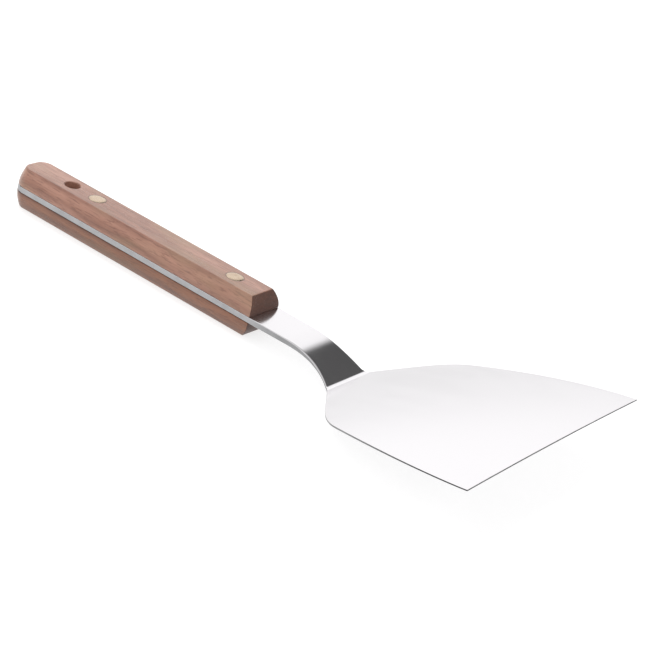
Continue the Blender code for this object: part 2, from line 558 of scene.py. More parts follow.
@dataclass(frozen=True)
class OiledWood:
    """Oiled reddish-brown hardwood, its grain along the handle, with open pores and dark ends.

    Rivets and the hang hole are given as their place along the handle and their radius.
    """

    name: str
    # The colour that the wood is multiplied by; the lower scale's holds painted shade as well as a
    # tint.
    tint_and_shade: Triple
    seed: float
    rivets: tuple[tuple[float, float], ...]
    hang_hole: tuple[float, float]
    step: Triple = (0.137, 0.071, 0.053)
    brightest: Triple = (0.4928, 0.2576, 0.1792)
    early: Triple = (0.44, 0.230, 0.160)
    late: Triple = (0.31, 0.148, 0.098)
    vein: Triple = (0.18, 0.080, 0.052)
    golden: Triple = (0.33, 0.215, 0.125)
    # Painted shade: the dark colour of the thin ring round each rivet head.
    seam_painted_shade: Triple = (0.07, 0.036, 0.025)
    end_dark: Triple = (0.06708, 0.02106, 0.00936)
    end_pale: Triple = (0.0989, 0.03105, 0.0138)
    end_speck: Triple = (0.26, 0.17, 0.12)
    wander: Streaks = Streaks(0.16, 26.0)
    broad: Streaks = Streaks(0.075, 120.0, 3.0, 0.55, 0.35)
    figure: Streaks = Streaks(0.11, 420.0, 3.0, 0.6, 0.6)
    fibres: Streaks = Streaks(0.02, 1500.0, 4.0, 0.65)
    dashes: Streaks = Streaks(0.13, 1300.0)
    patches: Streaks = Streaks(0.30, 75.0)
    fine_pores: Streaks = Streaks(0.045, 2300.0, 1.0, 0.4)
    crowding: Streaks = Streaks(0.2, 150.0)
    specks: Streaks = Streaks(1.0, 1500.0)
    sweep: Streaks = Streaks(1.0, 330.0, 3.0, 0.6, 1.0)
    shares: Triple = (0.20, 0.35, 0.55)
    ring_sway: float = 0.012
    fibre_depth: float = 0.00003
    pore_depth: float = 0.00007
    seam_from: float = 0.0001
    seam_to: float = 0.0007
    most_seam: float = 0.6

    def make(self) -> bpy.types.Material:
        """Build the material.

        Returns:
            The material.
        """
        graph = FinishGraph(self.name)
        shift = tuple(self.seed * part for part in self.step)
        fibres, pores = graph.streaks(self.fibres, shift), self.pores(graph, shift)
        dashes, patches = graph.streaks(self.dashes, shift), graph.streaks(self.patches, shift)
        wood = self.figured(graph, shift)
        wood = graph.wash(wood, fibres, 0.35, 0.75, self.late, 0.30)
        wood = graph.blend(graph.maths("MULTIPLY", pores, 0.55), wood, self.vein)
        wood = graph.wash(wood, dashes, 0.55, 0.66, self.vein, 0.60)
        wood = graph.wash(wood, patches, 0.45, 0.66, self.golden, 0.40)
        # Painted shade: a thin dark ring round each rivet head.
        wood = graph.blend(self.painted_seam_shade(graph), wood, self.seam_painted_shade)
        end = self.end_grain(graph)
        wood = graph.blend(end, wood, self.end_colour(graph))
        # Multiply by the scale's tint, which on the lower scale also paints its shade.
        wood = graph.blend(1.0, wood, self.tint_and_shade, "MULTIPLY")

        rough = graph.maths("ADD", graph.ramp(fibres, 0.3, 0.8, 0.30, 0.42),
                            graph.maths("MULTIPLY", end, 0.45))
        relief = graph.bump(graph.maths("SUBTRACT", 1.0, pores), self.pore_depth,
                            under=graph.bump(fibres, self.fibre_depth))
        return graph.finish(Base_Color=wood, Roughness=rough, Normal=relief,
                            Specular_IOR_Level=0.6, Sheen_Weight=0.30, Sheen_Roughness=0.40)

    def figured(self, graph: FinishGraph, shift: Triple) -> Socket:
        """Colour the wood's figure: rings, broad bands and finer streaks together.

        Args:
            graph: The material's graph.
            shift: How far the pattern is moved.

        Returns:
            The colour.
        """
        parts = (self.rings(graph, shift), graph.streaks(self.broad, shift),
                 graph.streaks(self.figure, shift))
        tone: object = 0.0
        for part, share in zip(parts, self.shares):
            tone = graph.maths("ADD", tone, graph.maths("MULTIPLY", part, share))
        return graph.colours(tone, [(0.30, self.vein), (0.46, self.late), (0.66, self.early),
                                    (0.86, self.brightest)])

    def rings(self, graph: FinishGraph, shift: Triple) -> Socket:
        """Draw growth rings cut lengthwise: long arches whose lines wander along the handle.

        Args:
            graph: The material's graph.
            shift: How far the pattern is moved.

        Returns:
            The rings, between 0 and 1.
        """
        wander = graph.streaks(self.wander, shift)
        sway = graph.add("ShaderNodeVectorMath", {0: wander, "Scale": self.ring_sway},
                         operation="SCALE").outputs[0]
        straight = graph.stretched((0.05, 1.0, 0.6), (0.0, 0.03, 0.05), shift)
        swayed = graph.add("ShaderNodeVectorMath", {0: straight, 1: sway}, operation="ADD")
        inputs = {"Vector": swayed.outputs[0], "Scale": 60.0, "Distortion": 3.0, "Detail": 3.0,
                  "Detail Scale": 2.0, "Detail Roughness": 0.6}
        return graph.add("ShaderNodeTexWave", inputs, wave_type="BANDS",
                         bands_direction="Z").outputs[1]

    def pores(self, graph: FinishGraph, shift: Triple) -> Socket:
        """Draw short open pores along the grain, crowded in some stretches and sparse in others.

        Args:
            graph: The material's graph.
            shift: How far the pattern is moved.

        Returns:
            The pores, 1 inside them.
        """
        fine = graph.ramp(graph.streaks(self.fine_pores, shift), 0.60, 0.70)
        crowd = graph.ramp(graph.streaks(self.crowding, shift), 0.38, 0.62, 0.25, 1.0)
        return graph.maths("MULTIPLY", fine, crowd)

    def painted_seam_shade(self, graph: FinishGraph) -> Socket:
        """Draw the thin dark rings of painted shade round the rivets, where the heads meet the
        wood.

        Args:
            graph: The material's graph.

        Returns:
            The share of the painted shade's colour.
        """
        total: object = 0.0
        for x, radius in self.rivets:
            stain = graph.ramp(self.away(graph, x), radius + self.seam_from,
                               radius + self.seam_to, self.most_seam, 0.0)
            total = graph.maths("ADD", total, stain)
        return total

    @staticmethod
    def away(graph: FinishGraph, x: float) -> Socket:
        """Measure the distance from a hole's upright axis.

        Args:
            graph: The material's graph.
            x: The hole's place along the handle.

        Returns:
            The distance.
        """
        along, across, _ = graph.split(graph.place)
        along = graph.maths("SUBTRACT", along, x)
        square = graph.maths("ADD", graph.maths("MULTIPLY", along, along),
                             graph.maths("MULTIPLY", across, across))
        return graph.maths("SQRT", square)

    def end_grain(self, graph: FinishGraph) -> Socket:
        """Find where the surface cuts across the fibres, which drink oil there and go dark.

        Args:
            graph: The material's graph.

        Returns:
            The share of end grain, which is 0 in the holes.
        """
        facing, _, _ = graph.split(graph.add("ShaderNodeTexCoord").outputs["Normal"])
        front = graph.ramp(facing, 0.45, 0.62, 0.0, 0.95)
        butt = graph.ramp(graph.maths("MULTIPLY", facing, -1.0), 0.45, 0.95, 0.0, 0.45)
        end = graph.maths("ADD", front, butt)
        for x, radius in (*self.rivets, self.hang_hole):
            outside = graph.ramp(self.away(graph, x), radius, radius + NEAR)
            end = graph.maths("MULTIPLY", end, outside)
        return end

    def end_colour(self, graph: FinishGraph) -> Socket:
        """Colour the end grain, with the paler specks of cut pores and a faint sweep of rings.

        Args:
            graph: The material's graph.

        Returns:
            The colour.
        """
        sweep = graph.noise(graph.stretched((1.0, 0.5, 1.4)), self.sweep)
        swept = graph.wash(self.end_dark, sweep, 0.35, 0.65, self.end_pale)
        return graph.wash(swept, graph.streaks(self.specks), 0.64, 0.74, self.end_speck, 0.5)


@dataclass(frozen=True)
class SatinBrass:
    """Pale brass, buffed across the wood, with fine scratches and a light tarnish."""

    name: str = "satin_brass"
    colour: Triple = (0.53, 0.415, 0.31)
    tarnished: Triple = (0.44, 0.32, 0.22)
    most_tarnish: float = 0.4
    scratches: Streaks = Streaks(0.08, 4200.0, 3.0, 0.6, turn=0.6)
    tarnish: Streaks = Streaks(1.0, 420.0, 4.0, 0.6)
    smoothest: float = 0.21
    roughest: float = 0.34
    scratch_depth: float = 0.000006

    def make(self) -> bpy.types.Material:
        """Build the material.

        Returns:
            The material.
        """
        graph = FinishGraph(self.name)
        tarnish = graph.streaks(self.tarnish)
        brass = graph.wash(self.colour, tarnish, 0.42, 0.72, self.tarnished, self.most_tarnish)
        rough = graph.ramp(tarnish, 0.3, 0.7, self.smoothest, self.roughest)
        scratched = graph.bump(graph.streaks(self.scratches), self.scratch_depth)
        return graph.finish(Base_Color=brass, Metallic=1.0, Roughness=rough, Normal=scratched)


# ---------------------------------------------------------------- steel


@dataclass(frozen=True)
class Section:
    """One cross section of the steel: its middle, its slope, and its width and thickness."""

    x: float
    z: float
    slope: float
    half_width: float
    thickness: float

    @property
    def middle(self) -> Vector:
        """The middle of the section."""
        return Vector((self.x, 0.0, self.z))


@dataclass
class SteelSheet:
    """The tang, neck and blade: one section pushed along the steel's line from butt to edge."""

    front_x: float
    butt_x: float
    middle_z: float
    tang_half_width: float
    butt_radius: float = 0.0090
    tang_thickness: float = 0.0030
    neck_length: float = 0.0545
    bend_start: float = 0.0226
    bend_radius: float = 0.0563
    neck_angle: float = math.radians(32.4)
    neck_flare: float = 0.0041
    heel_radius: float = 0.0050
    blade_length: float = 0.1130
    blade_width: float = 0.1520
    heel_thickness: float = 0.0010
    edge_thickness: float = 0.0007
    heel_rise: float = math.radians(17.2)
    edge_rise: float = math.radians(9.4)
    shoulder_start: float = 0.0157
    shoulder_angle: float = math.radians(57.5)
    shoulder_length: float = 0.0320
    shoulder_fillet: float = 0.0030
    shoulder_round: float = 0.0100
    side_taper: float = 0.0187
    side_curve: float = 1.7
    edge_hollow: float = 0.0009
    edge_round: float = 0.0009
    tang_share: float = 0.20
    neck_share: float = 0.80
    blade_share: float = 0.13
    fade_before_heel: float = 0.009
    fade_length: float = 0.015
    sharp_edge: float = math.radians(55)
    straight_steps: int = 8
    bend_steps: int = 28
    heel_steps: int = 14
    shoulder_steps: int = 32
    blade_steps: int = 27
    columns: tuple[float, ...] = (-0.93, -0.75, -0.5, -0.25, 0.0, 0.25, 0.5, 0.75, 0.93)

    @property
    def heel_x(self) -> float:
        """Where the neck meets the blade."""
        return self.front_x + self.neck_length

    @property
    def top_z(self) -> float:
        """The height of the tang's upper face."""
        return self.middle_z + self.tang_thickness / 2

    @property
    def low_z(self) -> float:
        """The height of the tang's lower face."""
        return self.middle_z - self.tang_thickness / 2

    @staticmethod
    def soft_min(a: float, b: float, reach: float) -> float:
        """The smaller of two values, rounded where they differ by less than reach."""
        near = max(reach - abs(a - b), 0.0) / reach
        return min(a, b) - near * near * reach / 4

    def into_bend(self, x: float) -> float:
        """How far into the neck's bend a place is, from 0 where it starts to 1 at the heel."""
        return (x - self.front_x - self.bend_start) / (self.neck_length - self.bend_start)

    def half_width(self, x: float) -> float:
        """Find half the steel's width in plan.

        Args:
            x: The place along the steel.

        Returns:
            Half the width there.
        """
        into_corner = max(self.butt_x + self.butt_radius - x, 0.0)
        corner = math.sqrt(max(self.butt_radius**2 - into_corner**2, 0.0))
        flare = self.neck_flare * max(self.into_bend(x), 0.0) ** 3
        neck = self.tang_half_width - self.butt_radius + corner + flare
        shoulder = self.shoulder_start + (x - self.heel_x) * math.tan(self.shoulder_angle)
        to_edge = min(max(self.heel_x + self.blade_length - x, 0.0), self.blade_length)
        taper = (to_edge / (self.blade_length - self.shoulder_length)) ** self.side_curve
        side = self.blade_width / 2 - self.side_taper * taper
        neck_or_shoulder = -self.soft_min(-neck, -shoulder, self.shoulder_fillet)
        return self.soft_min(neck_or_shoulder, side, self.shoulder_round)

    def thickness(self, x: float) -> float:
        """Find the steel's thickness.

        Args:
            x: The place along the steel.

        Returns:
            The thickness there.
        """
        bend = held(self.into_bend(x))
        blade = held((x - self.heel_x) / self.blade_length)
        ground = (self.tang_thickness - self.heel_thickness) * bend * bend * (3 - 2 * bend)
        thinned = (self.heel_thickness - self.edge_thickness) * blade
        return self.tang_thickness - ground - thinned

    def top_line(self) -> list[Triple]:
        """Draw the steel's upper line from the front of the scales to the leading edge.

        Returns:
            Each point as (x, z, slope), close together where the line bends or the outline turns.
        """
        line = [(self.front_x + self.bend_start * step / self.straight_steps, self.top_z, 0.0)
                for step in range(self.straight_steps + 1)]
        bend_x = self.front_x + self.bend_start
        for step in range(1, self.bend_steps + 1):
            angle = self.neck_angle * step / self.bend_steps
            line.append((bend_x + self.bend_radius * math.sin(angle),
                         self.top_z - self.bend_radius * (1 - math.cos(angle)), -angle))
        end_x, end_z, _ = line[-1]
        heel_z = end_z - (self.heel_x - end_x) * math.tan(self.neck_angle)
        return line + self.heel_line(heel_z) + self.blade_line(heel_z)

    def heel_line(self, heel_z: float) -> list[Triple]:
        """Draw the tight arc in which the neck turns into the blade.

        Args:
            heel_z: The height at which the straight neck and the blade would meet.

        Returns:
            Each point as (x, z, slope).
        """
        turn = self.neck_angle + self.heel_rise
        tangent = self.heel_radius * math.tan(turn / 2)
        across, up = math.sin(self.neck_angle), math.cos(self.neck_angle)
        centre_x = self.heel_x - tangent * up + self.heel_radius * across
        centre_z = heel_z + tangent * across + self.heel_radius * up
        angles = [turn * step / self.heel_steps - self.neck_angle
                  for step in range(self.heel_steps + 1)]
        return [(centre_x + self.heel_radius * math.sin(angle),
                 centre_z - self.heel_radius * math.cos(angle), angle) for angle in angles]

    def blade_line(self, heel_z: float) -> list[Triple]:
        """Draw the blade's upper line, which rises less and less towards its edge.

        Args:
            heel_z: The height at which the straight neck and the blade would meet.

        Returns:
            Each point as (x, z, slope).
        """
        start, shoulder_end = self.heel_line(heel_z)[-1][0], self.heel_x + self.shoulder_length
        shoulder, side = shoulder_end - start, self.blade_length - self.shoulder_length
        places = [start + shoulder * step / self.shoulder_steps
                  for step in range(1, self.shoulder_steps + 1)]
        places += [shoulder_end + side * step / self.blade_steps
                   for step in range(1, self.blade_steps + 1)]
        rise = math.tan(self.heel_rise)
        change = (math.tan(self.edge_rise) - rise) / self.blade_length
        line = []
        for x in places:
            along = x - self.heel_x
            line.append((x, heel_z + along * rise + change * along**2 / 2,
                         math.atan(rise + change * along)))
        return line

    def section(self, x: float, z: float, slope: float) -> Section:
        """Find the section under a point of the upper line.

        Args:
            x: The point's place along the steel.
            z: Its height.
            slope: The line's slope there.

        Returns:
            The section whose upper face is at the point.
        """
        thickness = self.thickness(x)
        return Section(x + thickness / 2 * math.sin(slope), z - thickness / 2 * math.cos(slope),
                       slope, self.half_width(x), thickness)

    def push(self, old: Section, new: Section) -> None:
        """Extrude the selected end faces from one section to the next, turned and resized to it.

        Args:
            old: The section where the end faces are.
            new: The section that they go to.
        """
        Bench.extrude(*(new.middle - old.middle))
        turn = new.slope - old.slope
        if turn:
            bpy.ops.transform.rotate(value=turn, orient_axis="Y", center_override=new.middle)
        thicker = new.thickness / old.thickness
        wider = new.half_width / old.half_width
        bpy.ops.transform.resize(value=(thicker, wider, thicker), center_override=new.middle)

    def build(self) -> Piece:
        """Model the sheet.

        Returns:
            The steel piece, closed and still sharp along its edges.
        """
        low = Vector((self.butt_x, -self.tang_half_width, self.low_z))
        high = Vector((self.front_x, self.tang_half_width, self.top_z))
        steel = Bench.box("steel_blade_and_tang", low, high)
        forward = Vector((1, 0, 0))
        with Bench.edit(steel, Pick.EDGES):
            Bench.round_butt(steel, self.butt_x, self.butt_radius)
        with Bench.edit(steel):
            for column in self.columns:
                Bench.select_facing(steel, forward)
                bpy.ops.mesh.bisect(plane_co=(0, column * self.tang_half_width, 0),
                                    plane_no=(0, 1, 0))
            Bench.select_facing(steel, forward)
            sections = [self.section(*point) for point in self.top_line()]
            for old, new in zip(sections, sections[1:]):
                self.push(old, new)
            self.hollow_edge(steel)
            bpy.ops.mesh.select_all(action="SELECT")
            bpy.ops.mesh.normals_make_consistent(inside=False)
        return steel

    def hollow_edge(self, steel: Piece) -> None:
        """Draw the middle of the leading edge back a little behind its corners.

        Args:
            steel: The steel piece in edit mode.
        """
        edge_x, _, slope = self.top_line()[-1]
        behind, beside = 0.0002, 0.0001
        for column in self.columns:
            y = column * self.blade_width / 2
            mesh = bmesh.from_edit_mesh(steel.data)
            for vertex in mesh.verts:
                x_near = vertex.co.x > edge_x - behind
                vertex.select_set(x_near and abs(vertex.co.y - y) < beside)
            bmesh.update_edit_mesh(steel.data)
            back = self.edge_hollow * (1 - column**2)
            bpy.ops.transform.translate(value=(-back * math.cos(slope), 0.0,
                                               -back * math.sin(slope)))

    def soften(self, steel: Piece) -> None:
        """Round every sharp edge, most on the neck and least on the thin blade.

        Args:
            steel: The steel piece, with its two materials.
        """
        with Bench.edit(steel, Pick.EDGES):
            bpy.ops.mesh.edges_select_sharp(sharpness=self.sharp_edge)
            mesh = bmesh.from_edit_mesh(steel.data)
            weight = mesh.edges.layers.float.new("bevel_weight_edge")
            for edge in mesh.edges:
                if edge.select:
                    edge[weight] = self.edge_share((edge.verts[0].co.x + edge.verts[1].co.x) / 2)
            bmesh.update_edit_mesh(steel.data)
        Bench.apply(steel, "BEVEL", limit_method="WEIGHT", width=self.edge_round, segments=4,
                    use_clamp_overlap=False)
        # The narrow faces take the second material, whose darker colour is painted shade.
        for face in steel.data.polygons:
            face.material_index = 1 if self.is_narrow(face) else 0

    def edge_share(self, x: float) -> float:
        """Find the share of the full rounding that an edge gets.

        Args:
            x: The place along the steel.

        Returns:
            The share there.
        """
        into_neck = held((x - self.front_x) / self.bend_start)
        into_blade = held((x - self.heel_x + self.fade_before_heel) / self.fade_length)
        grown = (self.neck_share - self.tang_share) * into_neck
        return self.tang_share + grown - (self.neck_share - self.blade_share) * into_blade

    @staticmethod
    def is_narrow(face: bpy.types.MeshPolygon) -> bool:
        """Whether a face belongs to the sheet's narrow side rather than its upper or lower one."""
        return abs(face.normal.z) < 0.5


# ---------------------------------------------------------------- wood


@dataclass
class WoodScale:
    """One half of the grip: flat on the tang, swelling up its sides to a narrower flat face."""

    name: str
    side: Side
    low: Vector
    high: Vector
    side_bevel: float = 0.00335
    front_bevel: float = 0.0036
    butt_bevel: float = 0.0022
    butt_radius: float = 0.0090
    side_swell: float = 1.8
    front_swell: float = 2.2
    foot_share: float = 0.06
    steps: int = 10
    crease: float = 0.0004
    corner: float = 0.0003
    foot_ease: float = 0.0003

    @property
    def height(self) -> float:
        """The scale's full height."""
        return self.high.z - self.low.z

    @property
    def flat_z(self) -> float:
        """The height of the outer flat face."""
        return self.high.z if self.side is Side.UPPER else self.low.z

    @property
    def base_z(self) -> float:
        """The height of the face on the tang."""
        return self.low.z if self.side is Side.UPPER else self.high.z

    def build(self) -> Piece:
        """Model the scale.

        Returns:
            The scale, closed and with its edges eased.
        """
        up = self.side.value
        foot_z = self.base_z + up * self.height * self.foot_share
        low = Vector((self.low.x, self.low.y, min(self.base_z, foot_z)))
        high = Vector((self.high.x, self.high.y, max(self.base_z, foot_z)))
        scale = Bench.box(self.name, low, high)
        with Bench.edit(scale, Pick.EDGES):
            Bench.round_butt(scale, self.low.x, self.butt_radius)
            bpy.ops.mesh.select_mode(type=Pick.FACES.value)
            Bench.select_facing(scale, Vector((0, 0, up)))
            self.raise_sides()
        self.ease_edges(scale)
        return scale

    def raise_sides(self) -> None:
        """Inset and lift the selected flat face step by step, so that the sides swell."""
        share, front, back, inset = self.foot_share, self.high.x, self.low.x, 0.0
        for _ in range(self.steps):
            new_share = share + (1 - self.foot_share) / self.steps
            new_inset = self.side_bevel * new_share**self.side_swell
            inward = new_inset - inset
            bpy.ops.mesh.inset(thickness=inward, depth=self.height * (new_share - share))
            new_front = self.high.x - self.front_bevel * new_share**self.front_swell
            new_back = self.low.x + self.butt_bevel * new_share**self.side_swell
            bpy.ops.transform.translate(value=(new_front - front + inward, 0.0, 0.0))
            stretch = (new_front - new_back) / (front - back - 2 * inward)
            bpy.ops.transform.resize(value=(stretch, 1.0, 1.0),
                                     center_override=(new_front, 0.0, 0.0))
            share, front, back, inset = new_share, new_front, new_back, new_inset

    def ease_edges(self, scale: Piece) -> None:
        """Round the two corners in front, the crease round the flat face, and the foot.

        Args:
            scale: The scale.
        """
        with Bench.edit(scale, Pick.EDGES):
            Bench.select_edges(scale, self.is_front_corner)
            Bench.round_edges(self.corner, 3)
            bpy.ops.mesh.select_all(action="DESELECT")
            Bench.select_rim(scale, self.flat_z)
            Bench.round_edges(self.crease, 4)
            bpy.ops.mesh.select_all(action="DESELECT")
            Bench.select_rim(scale, self.base_z)
            Bench.round_edges(self.foot_ease, 2)

    def is_front_corner(self, a: Vector, b: Vector) -> bool:
        """Judge whether an edge runs up one of the two corners in front.

        Args:
            a: One end of the edge.
            b: Its other end.

        Returns:
            Whether it does.
        """
        behind, rise, lean = 0.0005, 0.0001, 0.002
        in_front = min(a.x, b.x) > self.high.x - self.front_bevel - behind
        upright = abs(a.z - b.z) > rise and abs(a.x - b.x) < lean
        return in_front and upright and a.y * b.y > 0


# ---------------------------------------------------------------- rivets


@dataclass
class CutlersRivet:
    """A pair of turned halves: a solid one from above, and the hollow one below that it enters."""

    name: str
    solid_low: Vector
    solid_high: Vector
    hollow_low: Vector
    hollow_high: Vector
    rim: float = 0.0012
    crown: float = 0.00035
    roundness: float = 6.0
    crown_rings: tuple[float, ...] = (0.985, 0.96, 0.92, 0.86, 0.78, 0.68, 0.55, 0.4, 0.25, 0.1)
    barrel_radius: float = 0.0030
    shank_radius: float = 0.0015
    clearance: float = 0.0001
    cutter_reach: float = 0.004
    sides: int = 72

    @property
    def head_radius(self) -> float:
        """The radius of both heads."""
        return (self.solid_high.x - self.solid_low.x) / 2

    @property
    def centre(self) -> Vector:
        """A point on the rivet's axis, at no height."""
        return Vector(((self.solid_low.x + self.solid_high.x) / 2, 0.0, 0.0))

    @property
    def high_face(self) -> float:
        """The height at which the upper head's crown starts."""
        return self.solid_high.z - self.crown

    @property
    def low_face(self) -> float:
        """The height at which the lower head's crown starts."""
        return self.hollow_low.z + self.crown

    def head(self, name: str, side: Side) -> Piece:
        """Model a head with a low crown.

        Args:
            name: Name of the new piece.
            side: The side of the handle that the head is on.

        Returns:
            The head, with its seat facing the tang.
        """
        up = side.value
        face = self.high_face if side is Side.UPPER else self.low_face
        foot = self.centre + Vector((0, 0, min(face, face - up * self.rim)))
        head = Bench.cylinder(name, foot, self.head_radius, self.rim, self.sides)
        with Bench.edit(head):
            Bench.select_facing(head, Vector((0, 0, up)))
            radius, height = self.head_radius, 0.0
            for share in self.crown_rings:
                new_height = self.crown * (1 - share**self.roundness)
                bpy.ops.mesh.inset(thickness=radius - self.head_radius * share,
                                   depth=new_height - height)
                radius, height = self.head_radius * share, new_height
        return head

    def solid_half(self) -> Piece:
        """Model the upper half, with its solid shank.

        Returns:
            The piece.
        """
        piece = self.head(f"{self.name}_solid_half", Side.UPPER)
        with Bench.edit(piece):
            Bench.select_facing(piece, Vector((0, 0, -1)))
            bpy.ops.mesh.inset(thickness=self.head_radius - self.shank_radius)
            Bench.extrude(0, 0, self.solid_low.z - self.high_face + self.rim)
        return piece

    def hollow_half(self) -> Piece:
        """Model the lower half, with the barrel that the shank enters.

        Returns:
            The piece.
        """
        piece = self.head(f"{self.name}_hollow_half", Side.LOWER)
        with Bench.edit(piece):
            Bench.select_facing(piece, Vector((0, 0, 1)))
            bpy.ops.mesh.inset(thickness=self.head_radius - self.barrel_radius)
            Bench.extrude(0, 0, self.hollow_high.z - self.low_face - self.rim)
            bpy.ops.mesh.inset(thickness=self.barrel_radius - self.shank_radius - self.clearance)
            Bench.extrude(0, 0, self.solid_low.z - self.hollow_high.z - self.clearance)
        return piece

    def cutter(self) -> Piece:
        """Model the stepped hole that the rivet needs.

        Returns:
            The hole as a solid to cut with.
        """
        seat = self.rim + self.clearance
        low_seat, high_seat = self.low_face + seat, self.high_face - seat
        narrow, wide = self.barrel_radius + self.clearance, self.head_radius + self.clearance
        foot = self.centre + Vector((0, 0, low_seat))
        cutter = Bench.cylinder(f"{self.name}_cutter", foot, narrow, high_seat - low_seat,
                                self.sides)
        with Bench.edit(cutter):
            for up, end_z in ((1, high_seat), (-1, low_seat)):
                Bench.select_end(cutter, end_z)
                Bench.extrude(0, 0, 0)
                bpy.ops.transform.resize(value=(wide / narrow, wide / narrow, 1.0),
                                         center_override=self.centre)
                Bench.extrude(0, 0, up * (seat + self.cutter_reach))
        return cutter


@dataclass
class HangHole:
    """The plain hole near the butt, with its rims eased by a countersink."""

    x: float
    low_z: float
    high_z: float
    radius: float = 0.00425
    ease: float = 0.0004
    flares: tuple[tuple[float, float], ...] = ((0.125, 0.275), (0.3, 0.425), (0.5, 0.5),
                                               (0.5, 1.5))
    sides: int = 72

    def cutter(self) -> Piece:
        """Model the hole, flared where it leaves the wood.

        Returns:
            The hole as a solid to cut with.
        """
        foot = Vector((self.x, 0.0, self.low_z + self.ease))
        height = self.high_z - self.low_z - 2 * self.ease
        cutter = Bench.cylinder("hang_hole_cutter", foot, self.radius, height, self.sides)
        with Bench.edit(cutter):
            for up, end_z in ((1, self.high_z - self.ease), (-1, self.low_z + self.ease)):
                Bench.select_end(cutter, end_z)
                for spread, lift in self.flares:
                    self.flare(spread, lift * up)
        return cutter

    def flare(self, spread: float, lift: float) -> None:
        """Extrude the selected end and widen it.

        Args:
            spread: How much wider it gets, as a share of the ease.
            lift: How far it is extruded upwards, as a share of the ease.
        """
        Bench.extrude(0, 0, self.ease * lift)
        wider = 1 + self.ease * spread / self.radius
        bpy.ops.transform.resize(value=(wider, wider, 1.0), center_override=(self.x, 0.0, 0.0))


# ---------------------------------------------------------------- studio


class SkyGraph(Graph):
    """The node tree of the surround, which shades it by direction."""

    def __init__(self, world: bpy.types.World) -> None:
        """Split the direction into its x, y and z.

        Args:
            world: The world that holds the surround.
        """
        world.use_nodes = True
        super().__init__(world.node_tree)
        self.parts = self.split(self.add("ShaderNodeTexCoord").outputs["Generated"])

    def mix(self, share: Socket, a: object, b: object) -> Socket:
        """The brightness a where the share is 0 and b where it is 1."""
        return self.add("ShaderNodeMapRange", {0: share, 1: 0.0, 2: 1.0, 3: a, 4: b}).outputs[0]

    def patch(self, under: object, brightness: object,
              *sides: tuple[Socket, float, float]) -> Socket:
        """Lay a patch with soft sides over the surround.

        Args:
            under: The brightness of what the patch covers.
            brightness: The brightness of the patch.
            sides: For each side, the part of the direction that it runs across, where the patch
                starts and where it is full.

        Returns:
            The brightness of both together.
        """
        share: object = 1.0
        for part, start, full in sides:
            ends = (0.0, 1.0) if start < full else (1.0, 0.0)
            side = self.ramp(part, min(start, full), max(start, full), *ends)
            share = self.maths("MULTIPLY", share, side)
        return self.mix(share, under, brightness)

    def shine(self, strength: Socket) -> None:
        """Light the surround white.

        Args:
            strength: Its brightness.
        """
        background = self.tree.nodes["Background"]
        self.feed(background, "Strength", strength)
        self.feed(background, "Color", (1.0, 1.0, 1.0))


